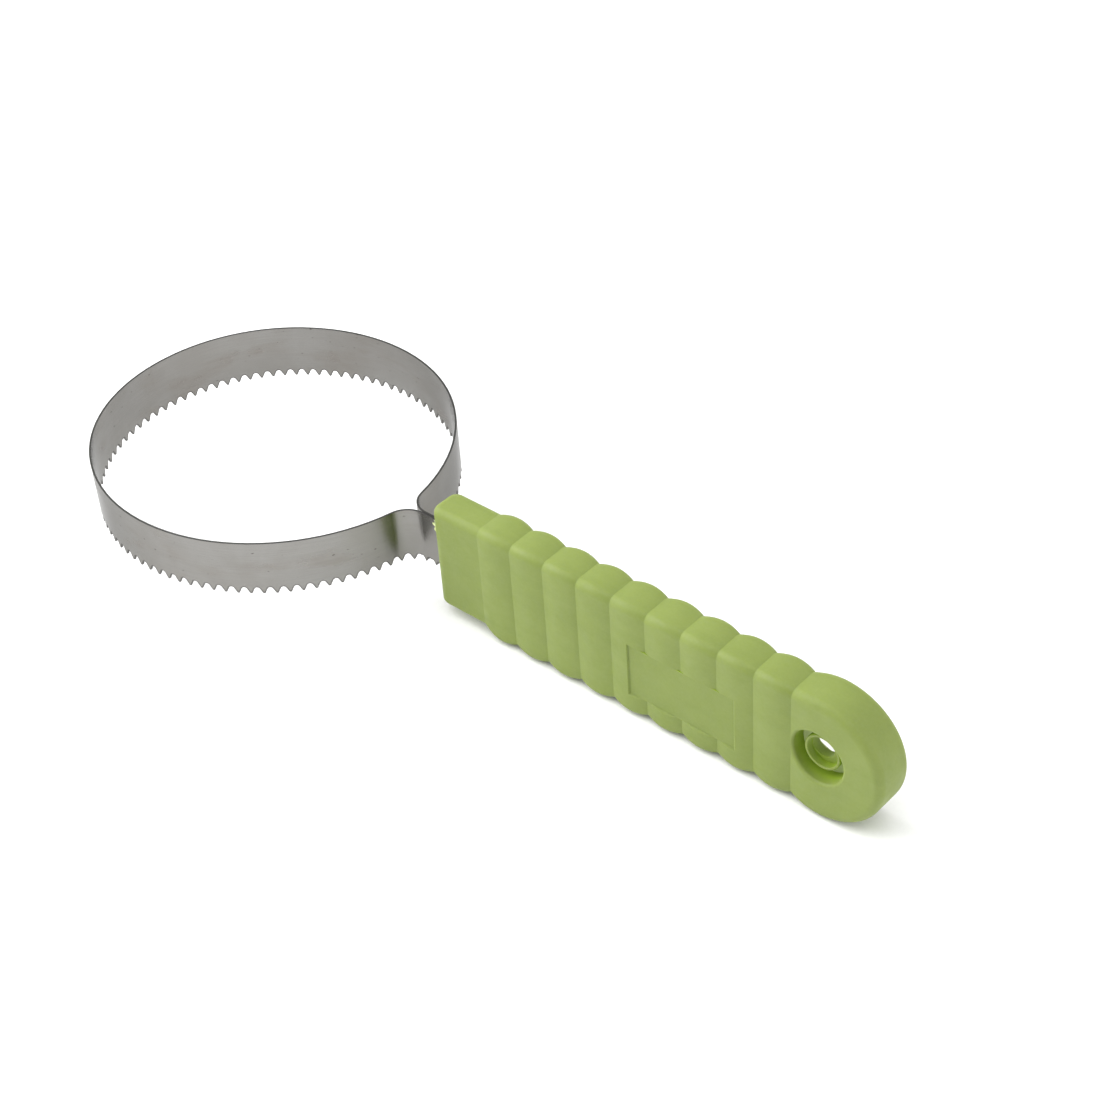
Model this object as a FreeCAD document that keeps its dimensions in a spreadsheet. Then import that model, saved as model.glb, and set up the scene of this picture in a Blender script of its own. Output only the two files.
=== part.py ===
import FreeCAD, Part
import math
import os
import re

import Sketcher
from FreeCAD import Placement, Rotation, Vector

# Looped shedding blade: one toothed spring-steel strip bent into a round loop, its two tails
# side by side in a lobed plastic handle, held together by a bush and two rivets.
#
# The design axes: X runs along the handle away from the loop and is zero at the first crease,
# Y runs across the handle's thickness and Z up its height, both zero on its middle plane.
# The sheet's origin cells then put the frame's origin under the middle of the whole tool.

SIZES = [
    # lobed handle
    ("lobe_pitch", 10.0, "length of one grip lobe"),
    ("lobe_count", 9, "grip lobes between the nose and the round end"),
    ("crest_place", 5.7, "a lobe's first crease to its crest"),
    ("crease_half_height", 15.3, "half of the handle's height in a crease"),
    ("crease_half_thickness", 4.65, "half of the handle's thickness in a crease"),
    ("lobe_rise_height", 0.85, "how far a lobe stands above its creases"),
    ("lobe_rise_thickness", 0.7, "how far a lobe stands out from its creases"),
    ("edge_round", 2.0, "radius along the handle's long edges"),
    ("nose_length", 15.2, "plain block in front of the first lobe"),
    ("nose_lift", 1.2, "how much higher the underside of the nose is"),
    ("nose_round", 2.8, "radius of the nose's upright corners"),
    ("end_reach", 7.3, "last crease to the centre of the round end"),
    ("end_radius", 16.55, "round end, which is also half of its height"),
    ("end_half_thickness", 5.5, "half of the round end's thickness"),
    # hanging eye in the round end
    ("eye_rise", 0.8, "eye centre above the middle plane"),
    ("eye_near_radius", 6.8, "eye in the labelled side of the handle"),
    ("eye_far_radius", 8.2, "eye in the other side"),
    ("eye_lip", 0.7, "rounding of the eye's lip"),
    # flat panel on the labelled side
    ("panel_start", 45.5, "first crease to the panel"),
    ("panel_length", 29.5, "panel along the handle"),
    ("panel_low", 9.7, "middle plane down to the panel's lower edge"),
    ("panel_high", 4.7, "middle plane up to the panel's upper edge"),
    ("panel_sink", 0.4, "panel below the tops of the lobes"),
    ("panel_slope", 45.0, "lean of the walls around the panel, degrees"),
    # steel strip
    ("strip_height", 15.2, "upper edge to tooth tips"),
    ("strip_thickness", 0.5, "spring steel sheet"),
    ("tail_gap", 0.15, "gap between the two tails"),
    ("tail_overrun", 10.0, "eye centre to the tails' ends"),
    ("slot_clearance", 0.05, "handle slot around the tails, each side"),
    # round loop
    ("loop_reach", 63.6, "nose to the centre of the loop's far arc"),
    ("loop_skew", 1.7, "the loop's set to one side, degrees"),
    ("far_arc_radius", 44.9, "loop opposite the handle"),
    ("far_arc_half_sweep", 53.9, "half of the far arc, degrees"),
    ("side_arc_radius", 48.4, "each side of the loop"),
    ("side_arc_sweep", 67.4, "each side arc, degrees"),
    ("shoulder_radius", 51.2, "loop next to the necks"),
    ("neck_bend_radius", 6.0, "reverse bend into the tails"),
    # teeth
    ("tooth_pitch", 3.175, "eight teeth to the inch"),
    ("tooth_depth", 1.8, "tip to the bottom of a gap"),
    ("tooth_tip", 0.45, "flat left on each tip"),
    ("tooth_gap_radius", 0.75, "round bottom of each gap"),
    ("tooth_shift", 0.6, "the row of teeth's set towards the plain side"),
    # bush that lines the eye
    ("bush_bore_radius", 2.9, "clear hole for a hook"),
    ("bush_bore_set", 0.9, "the bore's set towards the loop, off the collar's axis"),
    ("bush_wall", 0.5, "least wall through the tails"),
    ("bush_ledge", 0.1, "least ledge around the bore, inside the collar"),
    ("bush_floor", 0.8, "ledge above the steel"),
    ("bush_collar_wall", 0.7, "wall of the collar on the labelled side"),
    ("bush_collar_height", 2.7, "collar above the steel"),
    ("bush_round", 0.25, "rounding of the collar's rim and the back of the bore"),
    ("bush_flange_width", 1.2, "flange on the other side, out from the tube"),
    ("bush_flange_height", 0.5, "flange above the steel"),
    ("bush_clearance", 0.03, "hole in the tails around the tube"),
    # rivets
    ("front_rivet_place", 7.0, "nose to the front rivet"),
    ("middle_rivet_place", 62.0, "nose to the middle rivet"),
    ("rivet_shank_radius", 1.5, "shank"),
    ("rivet_head_radius", 2.8, "both heads"),
    ("rivet_head_height", 1.0, "both heads"),
    ("rivet_clearance", 0.03, "holes and head pockets around each rivet"),
    # place of the frame's origin on the design axes, measured below
    ("origin_x", 0.0, "middle of the whole tool's length"),
    ("origin_y", 0.0, "middle of its width"),
    ("origin_z", 0.0, "its lowest point"),
]

# Expressions that several pieces share.
PEAK_HALF_HEIGHT = "crease_half_height + lobe_rise_height"
PEAK_HALF_THICKNESS = "crease_half_thickness + lobe_rise_thickness"
LAST_CREASE = "lobe_count * lobe_pitch"
EYE_CENTRE = "lobe_count * lobe_pitch + end_reach"
TAILS_HALF_THICKNESS = "strip_thickness + tail_gap / 2"
PANEL_HALF_THICKNESS = "crease_half_thickness + lobe_rise_thickness - panel_sink"
BUSH_TUBE_RADIUS = "bush_bore_radius + bush_bore_set + bush_wall"
SIDE_MARGIN = 1.0

doc = FreeCAD.newDocument("shedding_blade")


def make_sheet():
    sheet = doc.addObject("Spreadsheet::Sheet", "sizes")
    for row, (alias, value, note) in enumerate(SIZES, start=1):
        sheet.set("A%d" % row, alias)
        sheet.set("B%d" % row, str(value))
        sheet.set("C%d" % row, note)
        sheet.setAlias("B%d" % row, alias)
    doc.recompute()
    return sheet


sheet = make_sheet()


def linked(expression):
    """The expression with each alias written as a reference to the sheet."""
    return re.sub("[a-z][a-z_]*", lambda word: "sizes." + word.group(), expression)


def value_of(expression):
    return float(sheet.evalExpression(linked(expression)))


def bind(thing, prop, expression):
    thing.setExpression(prop, linked(expression))


# ------------------------------------------------------------------ sketch helpers


def origin_plane(body, role):
    return [item for item in body.Origin.OriginFeatures if item.Role == role][0]


def new_body(name):
    body = doc.addObject("PartDesign::Body", name)
    body.Label = name
    return body


def new_sketch(body, name, role, offset="0"):
    sketch = body.newObject("Sketcher::SketchObject", name)
    sketch.AttachmentSupport = [(origin_plane(body, role), "")]
    sketch.MapMode = "FlatFace"
    bind(sketch, "AttachmentOffset.Base.z", offset)
    return sketch


def dimension(sketch, kind, places, expression):
    """A driving dimension that follows the sheet."""
    value = value_of(expression)
    index = sketch.addConstraint(Sketcher.Constraint(kind, *places, value))
    bind(sketch, "Constraints[%d]" % index, expression)


def add_lines(sketch, points):
    """A closed outline of straight lines, joined at their ends."""
    corners = [Vector(u, v, 0) for u, v in points]
    count = len(corners)
    first = sketch.GeometryCount
    for i in range(count):
        sketch.addGeometry(Part.LineSegment(corners[i], corners[(i + 1) % count]), False)
    for i in range(count):
        ends = (first + i, 2, first + (i + 1) % count, 1)
        sketch.addConstraint(Sketcher.Constraint("Coincident", *ends))
    return first


def add_box(sketch, left, right, low, high):
    """A rectangle whose four sides follow the sheet."""
    u0, u1, v0, v1 = [value_of(side) for side in (left, right, low, high)]
    first = add_lines(sketch, [(u0, v0), (u1, v0), (u1, v1), (u0, v1)])
    for line in (0, 2):
        sketch.addConstraint(Sketcher.Constraint("Horizontal", first + line))
    for line in (1, 3):
        sketch.addConstraint(Sketcher.Constraint("Vertical", first + line))
    dimension(sketch, "DistanceX", (-1, 1, first, 1), left)
    dimension(sketch, "DistanceX", (-1, 1, first + 2, 1), right)
    dimension(sketch, "DistanceY", (-1, 1, first, 1), low)
    dimension(sketch, "DistanceY", (-1, 1, first + 2, 1), high)


def add_circle(sketch, across, up, radius):
    centre = Vector(value_of(across), value_of(up), 0)
    circle = sketch.addGeometry(Part.Circle(centre, Vector(0, 0, 1), value_of(radius)), False)
    for kind, place, axis in (("DistanceX", across, -2), ("DistanceY", up, -1)):
        if place == "0":
            sketch.addConstraint(Sketcher.Constraint("PointOnObject", circle, 3, axis))
        else:
            dimension(sketch, kind, (-1, 1, circle, 3), place)
    dimension(sketch, "Radius", (circle,), radius)


def add_rounded_outline(sketch, half_width, low, high, radius):
    """A rectangle about the upright axis with four rounded corners."""
    w, v0, v1, r = [value_of(size) for size in (half_width, low, high, radius)]
    normal = Vector(0, 0, 1)
    corners = [
        (w - r, v0 + r, -90),
        (w - r, v1 - r, 0),
        (-w + r, v1 - r, 90),
        (-w + r, v0 + r, 180),
    ]
    sides = [
        ((-w + r, v0), (w - r, v0)),
        ((w, v0 + r), (w, v1 - r)),
        ((w - r, v1), (-w + r, v1)),
        ((-w, v1 - r), (-w, v0 + r)),
    ]
    for (u, v, start), (a, b) in zip(corners, sides):
        sketch.addGeometry(Part.LineSegment(Vector(*a, 0), Vector(*b, 0)), False)
        circle = Part.Circle(Vector(u, v, 0), normal, r)
        arc = Part.ArcOfCircle(circle, math.radians(start), math.radians(start + 90))
        sketch.addGeometry(arc, False)
    for side in range(4):
        line, arc, following = 2 * side, 2 * side + 1, (2 * side + 2) % 8
        sketch.addConstraint(Sketcher.Constraint("Tangent", line, 2, arc, 1))
        sketch.addConstraint(Sketcher.Constraint("Tangent", arc, 2, following, 1))
        kind = "Horizontal" if side % 2 == 0 else "Vertical"
        sketch.addConstraint(Sketcher.Constraint(kind, line))
    for arc in (3, 5, 7):
        sketch.addConstraint(Sketcher.Constraint("Equal", 1, arc))
    dimension(sketch, "Radius", (1,), radius)
    dimension(sketch, "DistanceX", (-1, 1, 2, 1), half_width)
    dimension(sketch, "DistanceX", (6, 1, -1, 1), half_width)
    dimension(sketch, "DistanceY", (-1, 1, 0, 1), low)
    dimension(sketch, "DistanceY", (-1, 1, 4, 1), high)


# ------------------------------------------------------------------ feature helpers


def set_tip(body, feature):
    body.Tip = feature
    doc.recompute()
    return feature


def check_change(name, before, after, grows):
    """Stops if a feature did not add to, or take from, the solid as it should."""
    change = after.Volume - before.Volume
    if (change <= 0) if grows else (change >= 0):
        raise RuntimeError("%s changed the volume by %.3f" % (name, change))


def pocket(body, sketch, name, length, reverse=False, both_ways=False):
    before = body.Shape.copy()
    cut = body.newObject("PartDesign::Pocket", name)
    cut.Profile = sketch
    cut.Reversed = reverse
    cut.Midplane = both_ways
    bind(cut, "Length", length)
    set_tip(body, cut)
    check_change(name, before, body.Shape, grows=False)
    return cut


def round_edges(body, base, name, radius, test):
    """Rounds the edges of the base feature that pass the test."""
    chosen = ["Edge%d" % (i + 1) for i, edge in enumerate(base.Shape.Edges) if test(edge)]
    fillet = body.newObject("PartDesign::Fillet", name)
    fillet.Base = (base, chosen)
    bind(fillet, "Radius", radius)
    return set_tip(body, fillet)


# ------------------------------------------------------------------ handle

NOSE_UNDERSIDE = "nose_lift - crease_half_height"
CREASE = ("crease_half_thickness", "0 - crease_half_height", "crease_half_height")
CREST = (PEAK_HALF_THICKNESS, "0 - (%s)" % PEAK_HALF_HEIGHT, PEAK_HALF_HEIGHT)
NOSE = ("crease_half_thickness", NOSE_UNDERSIDE, "crease_half_height")


def section(body, name, station, outline):
    """A rounded outline across the handle, at a station along it."""
    sketch = new_sketch(body, name, "YZ_Plane", station)
    half_thickness, low, high = outline
    add_rounded_outline(sketch, half_thickness, low, high, "edge_round")
    return sketch


def add_swell(body, name, stations, outlines):
    """A smooth length of handle through three outlines."""
    before = body.Shape.copy()
    sections = []
    for number, (station, outline) in enumerate(zip(stations, outlines)):
        sections.append(section(body, "%s_section_%d" % (name, number), station, outline))
    swell = body.newObject("PartDesign::AdditiveLoft", name)
    swell.Profile = sections[0]
    swell.Sections = sections[1:]
    swell.Ruled = False
    set_tip(body, swell)
    check_change(name, before, body.Shape, grows=True)
    return swell


def add_nose(body):
    """The plain block that the strip enters, round at its upright corners."""
    plan = new_sketch(body, "nose_plan", "XY_Plane", NOSE_UNDERSIDE)
    add_box(plan, "0 - nose_length", "0", "0 - crease_half_thickness", "crease_half_thickness")
    block = body.newObject("PartDesign::Pad", "nose_block")
    block.Profile = plan
    bind(block, "Length", "2 * crease_half_height - nose_lift")
    set_tip(body, block)
    front = -value_of("nose_length")

    def upright_at_front(edge):
        box = edge.BoundBox
        return box.ZLength > 1 and abs(box.XMax - front) < 0.01

    corners = round_edges(body, block, "nose_corners", "nose_round", upright_at_front)

    def level_and_outside(edge):
        box = edge.BoundBox
        at_crease = box.XLength < 0.01 and abs(box.XMax) < 0.01
        return box.ZLength < 0.01 and not at_crease

    return round_edges(body, corners, "nose_edges", "edge_round", level_and_outside)


def add_lobes(body):
    """The first lobe meets the higher underside of the nose; the others repeat."""
    add_swell(body, "first_lobe", ("0", "crest_place", "lobe_pitch"), (NOSE, CREST, CREASE))
    stations = ("lobe_pitch", "lobe_pitch + crest_place", "2 * lobe_pitch")
    lobe = add_swell(body, "lobe", stations, (CREASE, CREST, CREASE))
    row = body.newObject("PartDesign::LinearPattern", "lobe_row")
    row.Originals = [lobe]
    row.Direction = (origin_plane(body, "X_Axis"), [""])
    bind(row, "Length", "(lobe_count - 2) * lobe_pitch")
    bind(row, "Occurrences", "lobe_count - 1")
    set_tip(body, row)


def add_round_end(body):
    """The handle swells from the last crease into a half disc about the eye."""
    rise = 0.75
    shoulder = (
        "%g * crease_half_thickness + %g * end_half_thickness" % (1 - rise, rise),
        "0 - %g * crease_half_height - %g * end_radius" % (1 - rise, rise),
        "%g * crease_half_height + %g * end_radius" % (1 - rise, rise),
    )
    widest = ("end_half_thickness", "0 - end_radius", "end_radius")
    stations = (LAST_CREASE, LAST_CREASE + " + end_reach / 2", EYE_CENTRE)
    add_swell(body, "end_swell", stations, (CREASE, shoulder, widest))

    half = new_sketch(body, "end_half_section", "YZ_Plane", EYE_CENTRE)
    add_half_outline(half, "end_half_thickness", "end_radius", "edge_round")
    before = body.Shape.copy()
    disc = body.newObject("PartDesign::Revolution", "end_disc")
    disc.Profile = half
    disc.ReferenceAxis = (half, ["H_Axis"])
    disc.Angle = 180
    set_tip(body, disc)
    check_change("end_disc", before, body.Shape, grows=True)


def add_half_outline(sketch, half_width, height, radius):
    """Half a rounded rectangle standing on the sketch's horizontal axis."""
    w, v, r = [value_of(size) for size in (half_width, height, radius)]
    points = [(-w, 0), (w, 0), (w, v - r), (w - r, v), (-w + r, v), (-w, v - r)]
    spots = [Vector(a, b, 0) for a, b in points]
    normal = Vector(0, 0, 1)
    quarter = math.pi / 2
    sketch.addGeometry(Part.LineSegment(spots[0], spots[1]), False)
    sketch.addGeometry(Part.LineSegment(spots[1], spots[2]), False)
    right = Part.Circle(Vector(w - r, v - r, 0), normal, r)
    sketch.addGeometry(Part.ArcOfCircle(right, 0, quarter), False)
    sketch.addGeometry(Part.LineSegment(spots[3], spots[4]), False)
    left = Part.Circle(Vector(-w + r, v - r, 0), normal, r)
    sketch.addGeometry(Part.ArcOfCircle(left, quarter, 2 * quarter), False)
    sketch.addGeometry(Part.LineSegment(spots[5], spots[0]), False)
    for kind, places in (
        ("Coincident", (5, 2, 0, 1)),
        ("Coincident", (0, 2, 1, 1)),
        ("Tangent", (1, 2, 2, 1)),
        ("Tangent", (2, 2, 3, 1)),
        ("Tangent", (3, 2, 4, 1)),
        ("Tangent", (4, 2, 5, 1)),
        ("Equal", (2, 4)),
        ("PointOnObject", (0, 1, -1)),
        ("Horizontal", (0,)),
        ("Horizontal", (3,)),
        ("Vertical", (1,)),
        ("Vertical", (5,)),
    ):
        sketch.addConstraint(Sketcher.Constraint(kind, *places))
    dimension(sketch, "Radius", (2,), radius)
    dimension(sketch, "DistanceX", (-1, 1, 1, 1), half_width)
    dimension(sketch, "DistanceX", (0, 1, -1, 1), half_width)
    dimension(sketch, "DistanceY", (-1, 1, 3, 1), height)


PANEL_SIDES = ("panel_start", "panel_start + panel_length", "0 - panel_low", "panel_high")


def add_panel(body):
    """A flat for a label: it fills the creases and is cut into the tops of the lobes.

    The cut's walls lean outwards, so its outline is drawn at the flat and widens on its way out.
    """
    before = body.Shape.copy()
    filled = new_sketch(body, "panel_fill_outline", "XZ_Plane")
    add_box(filled, *PANEL_SIDES)
    fill = body.newObject("PartDesign::Pad", "panel_fill")
    fill.Profile = filled
    bind(fill, "Length", PANEL_HALF_THICKNESS)
    set_tip(body, fill)
    check_change("panel_fill", before, body.Shape, grows=True)
    outline = new_sketch(body, "panel_outline", "XZ_Plane", PANEL_HALF_THICKNESS)
    add_box(outline, *PANEL_SIDES)
    cut = pocket(body, outline, "panel", "panel_sink + %g" % SIDE_MARGIN, reverse=True)
    bind(cut, "TaperAngle", "panel_slope")
    set_tip(body, cut)


def add_slot(body):
    """The slot that holds both tails, with its clearance all round."""
    outline = new_sketch(body, "slot_outline", "XZ_Plane")
    add_box(
        outline,
        "0 - nose_length - %g" % SIDE_MARGIN,
        EYE_CENTRE + " + tail_overrun + slot_clearance",
        "0 - strip_height / 2 - slot_clearance",
        "strip_height / 2 + slot_clearance",
    )
    width = "2 * (%s + slot_clearance)" % TAILS_HALF_THICKNESS
    pocket(body, outline, "slot", width, both_ways=True)


def add_eye(body):
    """A round opening from each side down to the tails, with a soft lip."""
    depth = "end_half_thickness + %g" % SIDE_MARGIN
    for side, radius, towards_label in (
        ("near", "eye_near_radius", True),
        ("far", "eye_far_radius", False),
    ):
        outline = new_sketch(body, "eye_%s_outline" % side, "XZ_Plane")
        add_circle(outline, EYE_CENTRE, "eye_rise", radius)
        pocket(body, outline, "eye_" + side, depth, reverse=towards_label)
    face = value_of("end_half_thickness")
    radii = (value_of("eye_near_radius"), value_of("eye_far_radius"))

    def on_the_lip(edge):
        box = edge.BoundBox
        on_face = box.YLength < 0.01 and abs(abs(box.YMax) - face) < 0.01
        if not on_face or not isinstance(edge.Curve, Part.Circle):
            return False
        return any(abs(edge.Curve.Radius - radius) < 0.01 for radius in radii)

    return round_edges(body, body.Tip, "eye_lips", "eye_lip", on_the_lip)


def add_rivet_rooms(body):
    """Closed spaces in the plastic around the two rivets."""
    head_depth = "2 * (%s + rivet_head_height + rivet_clearance)" % TAILS_HALF_THICKNESS
    for place in ("front", "middle"):
        outline = new_sketch(body, place + "_rivet_room_outline", "XZ_Plane")
        across = "%s_rivet_place - nose_length" % place
        add_circle(outline, across, "0", "rivet_head_radius + rivet_clearance")
        pocket(body, outline, place + "_rivet_room", head_depth, both_ways=True)


def make_handle():
    body = new_body("handle_grip")
    add_nose(body)
    add_lobes(body)
    add_round_end(body)
    add_panel(body)
    add_slot(body)
    add_eye(body)
    add_rivet_rooms(body)
    return body


# ------------------------------------------------------------------ strip


class Strip:
    """The strip's middle line in plan, from the far end of the loop to the tails.

    Each half of the loop is a chain of tangent arcs: far arc, side arc, shoulder and a
    reverse bend, then the straight tail. Side is -1 for the labelled side and +1 for the
    other. How far the shoulder sweeps is worked out, so that the tail always comes out
    straight and in its place in the slot.
    """

    def __init__(self, side):
        self.side = side
        self.nose = -value_of("nose_length")
        self.skew = side * math.radians(value_of("loop_skew"))
        self.tail_place = value_of("(strip_thickness + tail_gap) / 2")
        self.arcs = self.chain()
        self.tail_start = self.arcs[-1][0].x

    def placed(self, u, v):
        """A point of the unskewed loop, swung about the nose into its real place."""
        cosine, sine = math.cos(self.skew), math.sin(self.skew)
        return Vector(self.nose + u * cosine - v * sine, u * sine + v * cosine, 0)

    def chain(self):
        far, side, shoulder, neck = [
            value_of(name)
            for name in ("far_arc_radius", "side_arc_radius", "shoulder_radius", "neck_bend_radius")
        ]
        first = 180 + value_of("far_arc_half_sweep")
        second = first + value_of("side_arc_sweep")
        reach = value_of("loop_reach")
        swing = math.degrees(self.skew)

        centre_a = Vector(-reach, 0, 0)
        centre_b = centre_a + along(first, far - side)
        centre_c = centre_b + along(second, side - shoulder)
        centre_a, centre_b, centre_c = [self.placed(c.x, c.y) for c in (centre_a, centre_b, centre_c)]
        lift = (centre_c.y + neck + self.tail_place) / (shoulder + neck)
        turn = math.degrees(math.acos(lift))
        centre_d = centre_c + along(turn - 90, shoulder + neck)
        return [
            (centre_a, far, 180 + swing, first + swing),
            (centre_b, side, first + swing, second + swing),
            (centre_c, shoulder, second + swing, 270 + turn),
            (centre_d, neck, 90 + turn, 90),
        ]

    def offset_radius(self, number, offset):
        """An arc's radius for a line that runs outside the loop by the offset."""
        centre, radius, start, end = self.arcs[number]
        return radius - offset if number == 3 else radius + offset

    def edges(self, offset, tail_end):
        """The edges of a line that runs outside the loop's middle line by the offset."""
        made = []
        for number, (centre, radius, start, end) in enumerate(self.arcs):
            reach = self.offset_radius(number, offset)
            spots = [centre + along(angle, reach) for angle in (start, (start + end) / 2, end)]
            made.append(Part.Arc(*[self.mirrored(spot) for spot in spots]).toShape())
        tail = Vector(self.tail_start, -self.tail_place - offset, 0)
        finish = Vector(tail_end, tail.y, 0)
        made.append(Part.LineSegment(self.mirrored(tail), self.mirrored(finish)).toShape())
        return made

    def mirrored(self, spot):
        return Vector(spot.x, -self.side * spot.y, spot.z)

    def length_to_nose(self):
        bends = sum(math.radians(abs(end - start)) * radius for c, radius, start, end in self.arcs)
        return bends + self.nose - self.tail_start

    def station(self, distance):
        """The point on the middle line and its outward direction, at a distance along it."""
        for number, (centre, radius, start, end) in enumerate(self.arcs):
            span = math.radians(abs(end - start)) * radius
            if distance <= span:
                angle = start + (end - start) * distance / span
                sign = -1 if number == 3 else 1
                spot = centre + along(angle, radius)
                return self.mirrored(spot), self.mirrored(along(angle, sign))
            distance -= span
        spot = Vector(self.tail_start + distance, -self.tail_place, 0)
        return self.mirrored(spot), self.mirrored(Vector(0, -1, 0))


def along(degrees, length):
    angle = math.radians(degrees)
    return Vector(length * math.cos(angle), length * math.sin(angle), 0)


def strip_solid(halves):
    """The whole strip: both faces' lines in plan, closed at the tails, drawn up to its height."""
    half_sheet = value_of("strip_thickness / 2")
    tail_end = value_of(EYE_CENTRE + " + tail_overrun")
    height = value_of("strip_height")
    edges = []
    for half in halves:
        outer = half.edges(half_sheet, tail_end)
        inner = half.edges(-half_sheet, tail_end)
        end_cap = Part.LineSegment(outer[-1].Vertexes[-1].Point, inner[-1].Vertexes[-1].Point)
        edges += outer + inner + [end_cap.toShape()]
    loops = [Part.Wire(group) for group in Part.sortEdges(edges)]
    face = Part.Face(loops[0])
    face.translate(Vector(0, 0, -height / 2))
    return face.extrude(Vector(0, 0, height))


def tooth_gap_profile():
    """One gap between two teeth, drawn across the strip's lower edge at the origin."""
    half_open = value_of("(tooth_pitch - tooth_tip) / 2")
    radius = value_of("tooth_gap_radius")
    centre = value_of("tooth_depth - tooth_gap_radius")
    lean = math.degrees(math.atan2(-centre, half_open))
    lean += math.degrees(math.acos(radius / math.hypot(centre, half_open)))
    touch = along(lean, radius) + Vector(0, centre, 0)
    spots = [
        Vector(-half_open, -SIDE_MARGIN, 0),
        Vector(-half_open, 0, 0),
        Vector(-touch.x, touch.y, 0),
        Vector(touch.x, touch.y, 0),
        Vector(half_open, 0, 0),
        Vector(half_open, -SIDE_MARGIN, 0),
    ]
    top = Vector(0, centre + radius, 0)
    return Part.Wire(
        [
            Part.LineSegment(spots[0], spots[1]).toShape(),
            Part.LineSegment(spots[1], spots[2]).toShape(),
            Part.Arc(spots[2], top, spots[3]).toShape(),
            Part.LineSegment(spots[3], spots[4]).toShape(),
            Part.LineSegment(spots[4], spots[5]).toShape(),
            Part.LineSegment(spots[5], spots[0]).toShape(),
        ]
    )


def tooth_gaps(halves):
    """A cutter for each gap, square to the strip where it stands, up to the handle's nose."""
    depth = value_of("strip_thickness") + 2 * SIDE_MARGIN
    pitch = value_of("tooth_pitch")
    shift = value_of("tooth_shift")
    low = value_of("strip_height / 2")
    face = Part.Face(tooth_gap_profile())
    cutters = []
    for half in halves:
        for number in range(int(half.length_to_nose() / pitch)):
            spot, outward = half.station((number + 0.5) * pitch + half.side * shift)
            up = Vector(0, 0, 1)
            turned = Rotation(up.cross(outward), up, outward, "ZXY")
            cutter = face.extrude(Vector(0, 0, depth))
            start = spot - outward * (depth / 2) - up * low
            cutter.Placement = Placement(start, turned)
            cutters.append(cutter)
    return Part.makeCompound(cutters)


def feature(name, shape):
    made = doc.addObject("Part::Feature", name)
    made.Shape = shape
    return made


def hole_across(name, station, up, radius):
    """A drill through both tails."""
    drill = doc.addObject("Part::Cylinder", name)
    bind(drill, "Radius", radius)
    bind(drill, "Height", "4 * (%s)" % TAILS_HALF_THICKNESS)
    bind(drill, "Placement.Base.x", station)
    bind(drill, "Placement.Base.y", "2 * (%s)" % TAILS_HALF_THICKNESS)
    bind(drill, "Placement.Base.z", up)
    drill.Placement.Rotation = Rotation(Vector(1, 0, 0), 90)
    return drill


def make_band():
    """The strip, its teeth and the three holes through its tails."""
    halves = (Strip(-1), Strip(1))
    strip = feature("plain_strip", strip_solid(halves))
    gaps = feature("tooth_gaps", tooth_gaps(halves))
    toothed = doc.addObject("Part::Cut", "toothed_strip")
    toothed.Base = strip
    toothed.Tool = gaps
    holes = doc.addObject("Part::MultiFuse", "tail_holes")
    rivet_hole = "rivet_shank_radius + rivet_clearance"
    bush_hole = BUSH_TUBE_RADIUS + " + bush_clearance"
    holes.Shapes = [
        hole_across("front_rivet_hole", "front_rivet_place - nose_length", "0", rivet_hole),
        hole_across("middle_rivet_hole", "middle_rivet_place - nose_length", "0", rivet_hole),
        hole_across("bush_hole", EYE_CENTRE, "eye_rise", bush_hole),
    ]
    band = doc.addObject("Part::Cut", "blade_band")
    band.Label = "blade_band"
    band.Base = toothed
    band.Tool = holes
    return band


# ------------------------------------------------------------------ fasteners


def turned_piece(name, outline):
    """A piece turned about the Y axis, from its outline (radius, along)."""
    body = new_body(name)
    profile = new_sketch(body, name + "_profile", "XY_Plane")
    corners = [(value_of(radius), value_of(place)) for radius, place in outline]
    first = add_lines(profile, corners)
    for number, (radius, place) in enumerate(outline):
        if radius == "0":
            profile.addConstraint(Sketcher.Constraint("PointOnObject", first + number, 1, -2))
        else:
            dimension(profile, "DistanceX", (-1, 1, first + number, 1), radius)
        if place == "0":
            profile.addConstraint(Sketcher.Constraint("PointOnObject", first + number, 1, -1))
        else:
            dimension(profile, "DistanceY", (-1, 1, first + number, 1), place)
    turn = body.newObject("PartDesign::Revolution", name + "_turned")
    turn.Profile = profile
    turn.ReferenceAxis = (profile, ["V_Axis"])
    turn.Angle = 360
    set_tip(body, turn)
    return body


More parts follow.
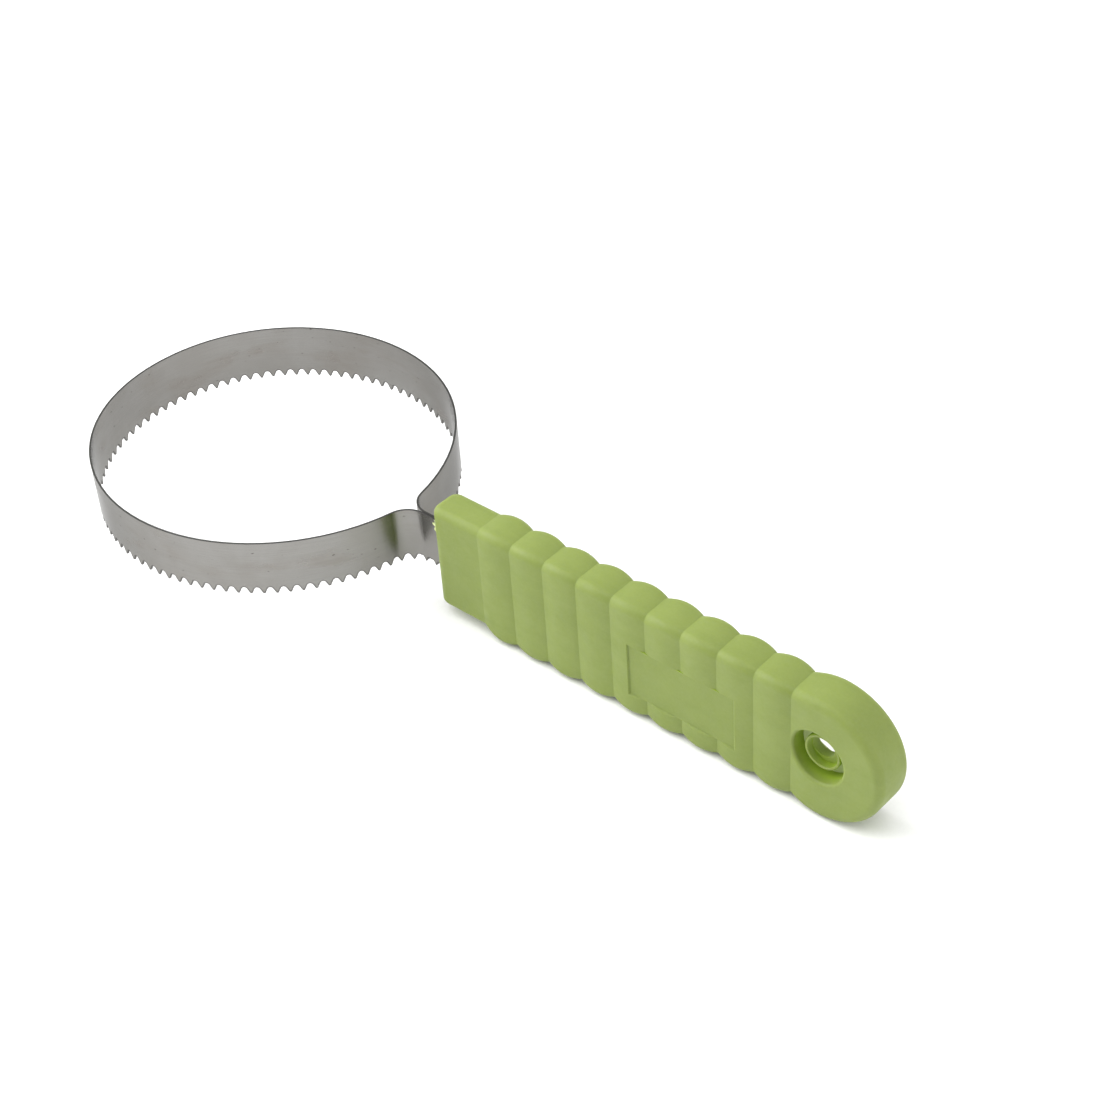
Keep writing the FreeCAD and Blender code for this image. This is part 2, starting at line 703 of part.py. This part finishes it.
def make_bush():
    """A collar on the labelled side, a tube through both tails and a flange behind them.

    The collar is a cup whose floor has the bore in it, a little nearer to the loop.
    """
    cup = "bush_bore_radius + bush_bore_set + bush_ledge"
    collar = cup + " + bush_collar_wall"
    flange = BUSH_TUBE_RADIUS + " + bush_flange_width"
    near = "0 - (%s)" % TAILS_HALF_THICKNESS
    rim = near + " - bush_collar_height"
    back = TAILS_HALF_THICKNESS + " + bush_flange_height"
    outline = [
        ("0", near + " - bush_floor"),
        (cup, near + " - bush_floor"),
        (cup, rim),
        (collar, rim),
        (collar, near),
        (BUSH_TUBE_RADIUS, near),
        (BUSH_TUBE_RADIUS, TAILS_HALF_THICKNESS),
        (flange, TAILS_HALF_THICKNESS),
        (flange, back),
        ("0", back),
    ]
    body = turned_piece("eye_bush", outline)
    bore = new_sketch(body, "bush_bore_outline", "XZ_Plane")
    add_circle(bore, "0 - bush_bore_set", "0", "bush_bore_radius")
    drilled = pocket(body, bore, "bush_bore", "2 * (bush_collar_height + %s)" % back, both_ways=True)
    ends = (value_of(rim), value_of(back))
    flange_radius = value_of(flange)

    def at_an_open_end(edge):
        box = edge.BoundBox
        at_end = box.YLength < 0.01 and any(abs(box.YMax - end) < 0.01 for end in ends)
        return at_end and box.ZLength / 2 < flange_radius - 0.01

    round_edges(body, drilled, "bush_rims", "bush_round", at_an_open_end)
    return body


def make_rivet(name):
    """A solid rivet with a bevelled head outside each tail."""
    half_shank = TAILS_HALF_THICKNESS
    top = TAILS_HALF_THICKNESS + " + rivet_head_height"
    bevel = "rivet_head_height / 2"
    outline = [
        ("0", "0 - (%s)" % top),
        ("rivet_head_radius - " + bevel, "0 - (%s)" % top),
        ("rivet_head_radius", "0 - (%s) + %s" % (top, bevel)),
        ("rivet_head_radius", "0 - (%s)" % half_shank),
        ("rivet_shank_radius", "0 - (%s)" % half_shank),
        ("rivet_shank_radius", half_shank),
        ("rivet_head_radius", half_shank),
        ("rivet_head_radius", top + " - " + bevel),
        ("rivet_head_radius - " + bevel, top),
        ("0", top),
    ]
    return turned_piece(name, outline)


# ------------------------------------------------------------------ assembly

# Where each fastener's own origin goes on the design axes: along the handle, and up.
STATIONS = {
    "eye_bush": (EYE_CENTRE, "eye_rise"),
    "front_rivet": ("front_rivet_place - nose_length", "0"),
    "middle_rivet": ("middle_rivet_place - nose_length", "0"),
}


def put_in_place(pieces):
    """Moves the frame's origin under the middle of the whole tool."""
    for piece in pieces:
        station, up = STATIONS.get(piece.Label, ("0", "0"))
        bind(piece, "Placement.Base.x", station + " - origin_x")
        bind(piece, "Placement.Base.y", "0 - origin_y")
        bind(piece, "Placement.Base.z", up + " - origin_z")
    doc.recompute()
    whole = Part.makeCompound([piece.Shape for piece in pieces]).optimalBoundingBox(False)
    sheet.set("B%d" % row_of("origin_x"), repr(whole.Center.x))
    sheet.set("B%d" % row_of("origin_y"), repr(whole.Center.y))
    sheet.set("B%d" % row_of("origin_z"), repr(whole.ZMin))
    doc.recompute()


def row_of(alias):
    return [entry[0] for entry in SIZES].index(alias) + 1


def check_document():
    for item in doc.Objects:
        if "Invalid" in item.State or "Error" in item.State:
            raise RuntimeError("%s did not recompute: %s" % (item.Name, item.State))


def check_piece(piece):
    if piece.Shape.isNull() or not piece.Shape.isValid():
        raise RuntimeError("%s has no valid shape" % piece.Label)
    if len(piece.Shape.Solids) != 1:
        raise RuntimeError("%s is %d solids" % (piece.Label, len(piece.Shape.Solids)))


def main():
    pieces = [
        make_handle(),
        make_band(),
        make_bush(),
        make_rivet("front_rivet"),
        make_rivet("middle_rivet"),
    ]
    put_in_place(pieces)
    check_document()
    os.makedirs("parts", exist_ok=True)
    for piece in pieces:
        check_piece(piece)
        piece.Shape.exportStep("parts/%s.step" % piece.Label)


main()
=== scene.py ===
import math
import random

import bpy
from mathutils import Matrix, Vector


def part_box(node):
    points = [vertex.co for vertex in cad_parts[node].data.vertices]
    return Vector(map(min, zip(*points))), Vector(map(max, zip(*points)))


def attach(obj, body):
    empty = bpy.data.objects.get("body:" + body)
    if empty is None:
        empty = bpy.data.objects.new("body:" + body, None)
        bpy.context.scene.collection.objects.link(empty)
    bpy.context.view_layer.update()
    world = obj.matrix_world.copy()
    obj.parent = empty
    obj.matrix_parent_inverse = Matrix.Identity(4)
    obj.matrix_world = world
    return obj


# Looks for the shedding blade: a lobed green plastic handle and a toothed spring-steel loop.
# Lengths are in metres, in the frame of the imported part: X along the handle from the loop to
# the hanging eye, Y across the loop, Z up.

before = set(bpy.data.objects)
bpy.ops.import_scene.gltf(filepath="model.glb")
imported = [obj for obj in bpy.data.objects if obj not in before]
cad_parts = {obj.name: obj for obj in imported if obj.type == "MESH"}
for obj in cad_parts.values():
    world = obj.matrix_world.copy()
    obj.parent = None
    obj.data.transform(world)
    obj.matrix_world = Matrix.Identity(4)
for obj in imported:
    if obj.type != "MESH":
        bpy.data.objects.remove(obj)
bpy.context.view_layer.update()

MM = 0.001

# Camera: its direction from the tool and its roll in degrees, how far off it stands and where it
# aims in metres, its focal length and sensor width in millimetres.
CAMERA_AZIMUTH = 43.75
CAMERA_ELEVATION = 38.94
CAMERA_ROLL = -4.3
CAMERA_DISTANCE = 0.5429
CAMERA_AIM = Vector((0.0102, 0.0124, 0.01655))
CAMERA_LENS = 74.34
CAMERA_SENSOR = 36.0

FLOOR_REACH = 12.0

# ------------------------------------------------------------------ places read from the frame

band_low, band_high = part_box("blade_band")
handle_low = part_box("handle_grip")[0]
loop_radius = (band_high.y - band_low.y) / 2
loop_centre = Vector((band_low.x + loop_radius, (band_low.y + band_high.y) / 2, 0))


def direction(azimuth, elevation):
    """A unit vector from the tool: azimuth 0 is the labelled side, 90 the end of the handle."""
    turn, rise = math.radians(azimuth), math.radians(elevation)
    level = math.cos(rise)
    return Vector((math.sin(turn) * level, -math.cos(turn) * level, math.sin(rise)))


def add_to_scene(name, data):
    made = bpy.data.objects.new(name, data)
    bpy.context.scene.collection.objects.link(made)
    return made


# ------------------------------------------------------------------ node helpers


class Nodes:
    """A material's node tree, with short calls for the nodes that the finishes share."""

    def __init__(self, name):
        self.material = bpy.data.materials.new(name)
        self.material.use_nodes = True
        self.tree = self.material.node_tree
        self.shader = self.tree.nodes["Principled BSDF"]
        self.places = self.add("ShaderNodeTexCoord").outputs["Object"]

    def add(self, kind, **settings):
        made = self.tree.nodes.new(kind)
        for key, value in settings.items():
            setattr(made, key, value)
        return made

    def set(self, socket, value):
        """Links a socket to another, or gives it a plain value."""
        if isinstance(value, bpy.types.NodeSocket):
            self.tree.links.new(value, socket)
        else:
            socket.default_value = value

    def axes(self, vector):
        """The vector's X, Y and Z."""
        made = self.add("ShaderNodeSeparateXYZ")
        self.set(made.inputs[0], vector)
        return made.outputs["X"], made.outputs["Y"], made.outputs["Z"]

    def maths(self, operation, first, second=0.0):
        made = self.add("ShaderNodeMath", operation=operation)
        self.set(made.inputs[0], first)
        self.set(made.inputs[1], second)
        return made.outputs[0]

    def stretched(self, vector, scale, turn=(0.0, 0.0, 0.0)):
        made = self.add("ShaderNodeMapping")
        self.set(made.inputs["Vector"], vector)
        made.inputs["Scale"].default_value = scale
        made.inputs["Rotation"].default_value = turn
        return made.outputs["Vector"]

    def noise(self, vector, scale, detail=2.0, roughness=0.5, distortion=0.0):
        made = self.add("ShaderNodeTexNoise", noise_dimensions="3D")
        self.set(made.inputs["Vector"], vector)
        made.inputs["Scale"].default_value = scale
        made.inputs["Detail"].default_value = detail
        made.inputs["Roughness"].default_value = roughness
        made.inputs["Distortion"].default_value = distortion
        return made.outputs["Fac"]

    def between(self, value, low, high, to_low=0.0, to_high=1.0):
        """Turns a value's stretch from low to high into to_low to to_high, with soft ends."""
        made = self.add("ShaderNodeMapRange", interpolation_type="SMOOTHSTEP", clamp=True)
        self.set(made.inputs["Value"], value)
        made.inputs["From Min"].default_value = low
        made.inputs["From Max"].default_value = high
        made.inputs["To Min"].default_value = to_low
        made.inputs["To Max"].default_value = to_high
        return made.outputs["Result"]

    def mixed(self, factor, first, second):
        made = self.add("ShaderNodeMix", data_type="RGBA", blend_type="MIX")
        self.set(made.inputs["Factor"], factor)
        self.set(made.inputs["A"], first)
        self.set(made.inputs["B"], second)
        return made.outputs["Result"]

    def bump(self, height, distance, below=None):
        """A shading normal from a height, laid over the normal below it."""
        made = self.add("ShaderNodeBump")
        made.inputs["Distance"].default_value = distance
        made.inputs["Strength"].default_value = 1.0
        self.set(made.inputs["Height"], height)
        if below is not None:
            self.set(made.inputs["Normal"], below)
        return made.outputs["Normal"]

    def near_edge(self, radius, full=0.8):
        """From 0 on the flat to 1 where the softened normal leans by the full amount or more."""
        soft = self.add("ShaderNodeBevel", samples=6)
        soft.inputs["Radius"].default_value = radius
        match = self.add("ShaderNodeVectorMath", operation="DOT_PRODUCT")
        self.set(match.inputs[0], soft.outputs["Normal"])
        self.set(match.inputs[1], self.true_normal())
        return self.between(match.outputs["Value"], full, 1.0, 1.0, 0.0)

    def openness(self, reach):
        """From 1 in the open to 0 deep in a hollow, as far as the reach looks."""
        made = self.add("ShaderNodeAmbientOcclusion", samples=8)
        made.inputs["Distance"].default_value = reach
        return made.outputs["AO"]

    def true_normal(self):
        return self.add("ShaderNodeNewGeometry").outputs["True Normal"]


def srgb(red, green, blue):
    """A colour given as screen values from 0 to 255, in linear light."""
    linear = []
    for value in (red, green, blue):
        share = value / 255
        linear.append(share / 12.92 if share <= 0.04045 else ((share + 0.055) / 1.055) ** 2.4)
    return (*linear, 1.0)


# ------------------------------------------------------------------ finishes


def green_plastic(name="green_plastic", whitened=0.0):
    """Soft moulded plastic: clouded yellow-green, fine grain, worn and painted-highlit edges,
    painted shade in creases and painted bounce light in deep hollows.

    Whitened is how far the whole piece is blanched, as thin stretched plastic is.
    """
    n = Nodes(name)
    clouds = n.noise(n.places, 70, detail=3, roughness=0.6)
    flow = n.noise(n.stretched(n.places, (30, 260, 260)), 1.0, detail=4, roughness=0.65)
    grain = n.noise(n.places, 1500, detail=2, roughness=0.7)
    base = n.mixed(n.between(clouds, 0.3, 0.7), srgb(122, 136, 67), srgb(127, 141, 71))
    base = n.mixed(n.between(flow, 0.35, 0.75, 0.0, 0.35), base, srgb(115, 130, 62))
    base = n.mixed(n.between(grain, 0.3, 0.75, 0.0, 0.2), base, srgb(136, 150, 84))

    open_air = n.openness(2.5 * MM)
    proud = n.between(open_air, 0.86, 0.96)
    # Lighter in patches on proud edges: rubbed wear and a painted highlight.
    edge_wear_and_highlight = n.maths("MULTIPLY", n.near_edge(0.9 * MM), n.between(clouds, 0.35, 0.65, 0.25, 0.6))
    base = n.mixed(n.maths("MULTIPLY", edge_wear_and_highlight, proud), base, srgb(138, 153, 80))
    # Painted shade: darker green in creases and tight corners.
    base = n.mixed(n.between(open_air, 0.7, 0.93, 0.4, 0.0), base, srgb(98, 114, 42))
    # Painted bounce light: deep hollows such as the hanging eye are painted a brighter, more
    # saturated green, but not within a few millimetres of the floor.
    hollow = n.between(n.openness(8 * MM), 0.3, 0.75, 1.0, 0.0)
    height = n.axes(n.places)[2]
    off_the_floor = n.between(height, 3 * MM, 9 * MM)
    base = n.mixed(n.maths("MULTIPLY", hollow, off_the_floor), base, srgb(141, 166, 48))
    base = n.mixed(whitened, base, srgb(214, 222, 176))
    n.set(n.shader.inputs["Base Color"], base)

    gloss = n.noise(n.places, 220, detail=3, roughness=0.6)
    n.set(n.shader.inputs["Roughness"], n.between(gloss, 0.25, 0.75, 0.46, 0.6))
    n.shader.inputs["IOR"].default_value = 1.47
    n.shader.inputs["Specular IOR Level"].default_value = 0.35
    n.shader.inputs["Subsurface Weight"].default_value = 0.6
    n.shader.inputs["Subsurface Radius"].default_value = (1.0, 1.0, 0.3)
    n.shader.inputs["Subsurface Scale"].default_value = 1.2 * MM
    peel = n.bump(n.noise(n.places, 260, detail=2), 0.05 * MM)
    n.set(n.shader.inputs["Normal"], n.bump(grain, 0.012 * MM, below=peel))
    return n.material


def spring_steel():
    """Rolled strip: lines along its length, cloudy handling marks, small nicks, painted shade on
    its edges.

    Inside the handle it is painted a light greenish grey and made less metallic: a painted
    reflection of the green plastic around it.
    """
    n = Nodes("spring_steel")
    x, y, z = n.axes(n.places)
    angle = n.maths(
        "ARCTAN2",
        n.maths("SUBTRACT", y, loop_centre.y),
        n.maths("SUBTRACT", x, loop_centre.x),
    )
    join = n.add("ShaderNodeCombineXYZ")
    n.set(join.inputs["X"], n.maths("MULTIPLY", angle, loop_radius))
    n.set(join.inputs["Y"], z)
    unrolled = join.outputs[0]

    rolling = n.noise(n.stretched(unrolled, (60, 3200, 1)), 1.0, detail=3, roughness=0.7)
    clouds = n.noise(n.places, 55, detail=4, roughness=0.6, distortion=0.4)
    smears = n.noise(n.stretched(unrolled, (55, 160, 1), (0, 0, 0.5)), 1.0, detail=4)
    base = n.mixed(n.between(clouds, 0.3, 0.7), srgb(134, 132, 128), srgb(142, 141, 138))
    base = n.mixed(n.between(rolling, 0.3, 0.7, 0.0, 0.35), base, srgb(123, 122, 119))
    base = n.mixed(n.between(smears, 0.5, 0.72, 0.0, 0.4), base, srgb(124, 118, 111))
    specks = n.noise(n.stretched(unrolled, (600, 1100, 1)), 1.0, detail=1)
    base = n.mixed(n.between(specks, 0.73, 0.79, 0.0, 0.8), base, srgb(78, 74, 70))

    # Painted shade: the cut faces, a thin band along every edge and a wider band round the teeth
    # are painted dark grey, and made rougher.
    facing_up = n.axes(n.true_normal())[2]
    cut_face_shade = n.between(n.maths("ABSOLUTE", facing_up), 0.5, 0.9)
    clear_of_gaps = band_low.z + 2.2 * MM
    toothed = n.between(z, clear_of_gaps, clear_of_gaps + 0.8 * MM, 1.0, 0.0)
    tooth_outline_shade = n.maths("MULTIPLY", toothed, n.near_edge(0.7 * MM, full=0.93))
    edge_shade = n.maths("MAXIMUM", n.maths("MAXIMUM", cut_face_shade, tooth_outline_shade), n.near_edge(0.3 * MM, full=0.9))
    base = n.mixed(n.maths("MULTIPLY", edge_shade, 0.85), base, srgb(72, 72, 70))
    # Painted reflection: inside the handle the steel is painted a light greenish grey and made less
    # metallic, standing in for the green plastic that it mirrors in the eye.
    inside_handle = n.between(x, handle_low.x, handle_low.x + 2 * MM)
    base = n.mixed(inside_handle, base, srgb(196, 208, 150))
    n.set(n.shader.inputs["Base Color"], base)
    n.set(n.shader.inputs["Metallic"], n.maths("SUBTRACT", 1.0, n.maths("MULTIPLY", inside_handle, 0.85)))
    n.shader.inputs["Specular Tint"].default_value = (0.58, 0.58, 0.58, 1.0)

    shine = n.between(clouds, 0.25, 0.75, 0.19, 0.26)
    shine = n.maths("ADD", shine, n.between(smears, 0.5, 0.8, 0.0, 0.12))
    shine = n.maths("ADD", shine, n.maths("MULTIPLY", n.maths("MAXIMUM", edge_shade, inside_handle), 0.25))
    n.set(n.shader.inputs["Roughness"], shine)
    dents = n.bump(n.noise(n.places, 130, detail=2), 0.03 * MM)
    n.set(n.shader.inputs["Normal"], n.bump(rolling, 0.004 * MM, below=dents))
    return n.material


def plated_metal(name, light, dark, roughness):
    """A turned and plated fastener: cloudy tarnish and fine turning lines."""
    n = Nodes(name)
    tarnish = n.noise(n.places, 420, detail=4, roughness=0.65)
    lines = n.noise(n.stretched(n.places, (300, 6000, 300)), 1.0, detail=2)
    base = n.mixed(n.between(tarnish, 0.35, 0.7), light, dark)
    n.set(n.shader.inputs["Base Color"], base)
    n.shader.inputs["Metallic"].default_value = 1.0
    n.set(n.shader.inputs["Roughness"], n.between(tarnish, 0.3, 0.7, roughness, roughness + 0.15))
    n.set(n.shader.inputs["Normal"], n.bump(lines, 0.004 * MM))
    return n.material


def studio_paper():
    n = Nodes("studio_paper")
    fibres = n.noise(n.places, 900, detail=3, roughness=0.7)
    base = n.mixed(n.between(fibres, 0.3, 0.7), srgb(244, 244, 244), srgb(247, 247, 247))
    n.set(n.shader.inputs["Base Color"], base)
    n.shader.inputs["Roughness"].default_value = 0.9
    n.shader.inputs["Specular IOR Level"].default_value = 0.1
    return n.material


def give(node, material):
    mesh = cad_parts[node].data
    mesh.materials.clear()
    mesh.materials.append(material)


# ------------------------------------------------------------------ flash at the slot's mouth


def add_mouth_flash():
    """A ragged tongue of flash that crept out of the slot along the strip, on the labelled side.

    It is a row of four-cornered sections from its top down: thick at the nose, thin at its rim,
    and each one reaching out by its own amount.
    """
    draw = random.Random(11)
    steps = 24
    height = 3.6 * MM
    top = band_high.z + 0.1 * MM
    steel_face = -2.38 * MM  # just inside the strip, so that the flash joins it
    root_width = 1.1 * MM
    rim_width = 0.25 * MM
    root = handle_low.x + 0.1 * MM
    spots, faces = [], []
    for step in range(steps + 1):
        share = step / steps
        up = top - share * height
        reach = (1.8 + draw.uniform(0.6, 2.2) * math.sin(math.pi * (0.2 + 0.7 * share))) * MM
        swell = draw.uniform(0.8, 1.5)
        spots += [
            (root, steel_face, up),
            (root - reach, steel_face, up),
            (root - reach, steel_face - rim_width * swell, up),
            (root, steel_face - root_width * swell, up),
        ]
    for step in range(steps):
        upper, lower = 4 * step, 4 * step + 4
        for corner in range(4):
            after = (corner + 1) % 4
            faces.append((upper + corner, upper + after, lower + after, lower + corner))
    faces.append((3, 2, 1, 0))
    faces.append(tuple(4 * steps + corner for corner in range(4)))
    mesh = bpy.data.meshes.new("mouth_flash")
    mesh.from_pydata(spots, [], faces)
    mesh.polygons.foreach_set("use_smooth", [True] * len(faces))
    mesh.materials.append(green_plastic("mouth_flash", whitened=0.5))
    flash = add_to_scene("mouth_flash", mesh)
    soft = flash.modifiers.new("soft", "SUBSURF")
    soft.levels = 2
    soft.render_levels = 2
    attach(flash, "root")


# ------------------------------------------------------------------ stage


def add_floor():
    mesh = bpy.data.meshes.new("floor")
    sides = ((-1, -1), (1, -1), (1, 1), (-1, 1))
    corners = [(x * FLOOR_REACH, y * FLOOR_REACH, 0) for x, y in sides]
    mesh.from_pydata(corners, [], [(0, 1, 2, 3)])
    mesh.materials.append(studio_paper())
    floor = add_to_scene("floor", mesh)


def add_softbox(name, azimuth, elevation, distance, size, power):
    """A square soft light that looks at the tool; its power is in watts."""
    away = direction(azimuth, elevation)
    lamp = bpy.data.lights.new(name, "AREA")
    lamp.shape = "SQUARE"
    lamp.size = size
    lamp.energy = power
    light = add_to_scene(name, lamp)
    light.location = away * distance
    light.rotation_euler = away.to_track_quat("Z", "Y").to_euler()


def add_room_light(strength):
    world = bpy.data.worlds.new("studio")
    world.use_nodes = True
    background = world.node_tree.nodes["Background"]
    background.inputs["Color"].default_value = (1.0, 1.0, 1.0, 1.0)
    background.inputs["Strength"].default_value = strength
    bpy.context.scene.world = world


def add_camera():
    back = direction(CAMERA_AZIMUTH, CAMERA_ELEVATION)
    right = direction(CAMERA_AZIMUTH + 90, 0)
    turned = Matrix((right, back.cross(right), back)).transposed()
    turned = turned @ Matrix.Rotation(math.radians(CAMERA_ROLL), 3, "Z")
    lens = bpy.data.cameras.new("camera")
    lens.lens = CAMERA_LENS
    lens.sensor_width = CAMERA_SENSOR
    lens.clip_start = 0.01
    camera = add_to_scene("camera", lens)
    camera.matrix_world = Matrix.Translation(CAMERA_AIM + back * CAMERA_DISTANCE) @ turned.to_4x4()
    bpy.context.scene.camera = camera


# ------------------------------------------------------------------ build

plastic = green_plastic()
give("handle_grip", plastic)
give("eye_bush", plastic)
give("blade_band", spring_steel())
rivets = plated_metal("rivet_metal", srgb(200, 200, 198), srgb(168, 168, 165), 0.35)
give("front_rivet", rivets)
give("middle_rivet", rivets)
add_mouth_flash()

bpy.context.scene.view_settings.view_transform = "Standard"
add_floor()
add_room_light(0.7)
add_softbox("key", azimuth=-65, elevation=38, distance=1.6, size=1.6, power=33)
add_softbox("top", azimuth=60, elevation=80, distance=1.4, size=1.2, power=9)
add_softbox("fill", azimuth=110, elevation=35, distance=1.6, size=1.4, power=6)
add_camera()
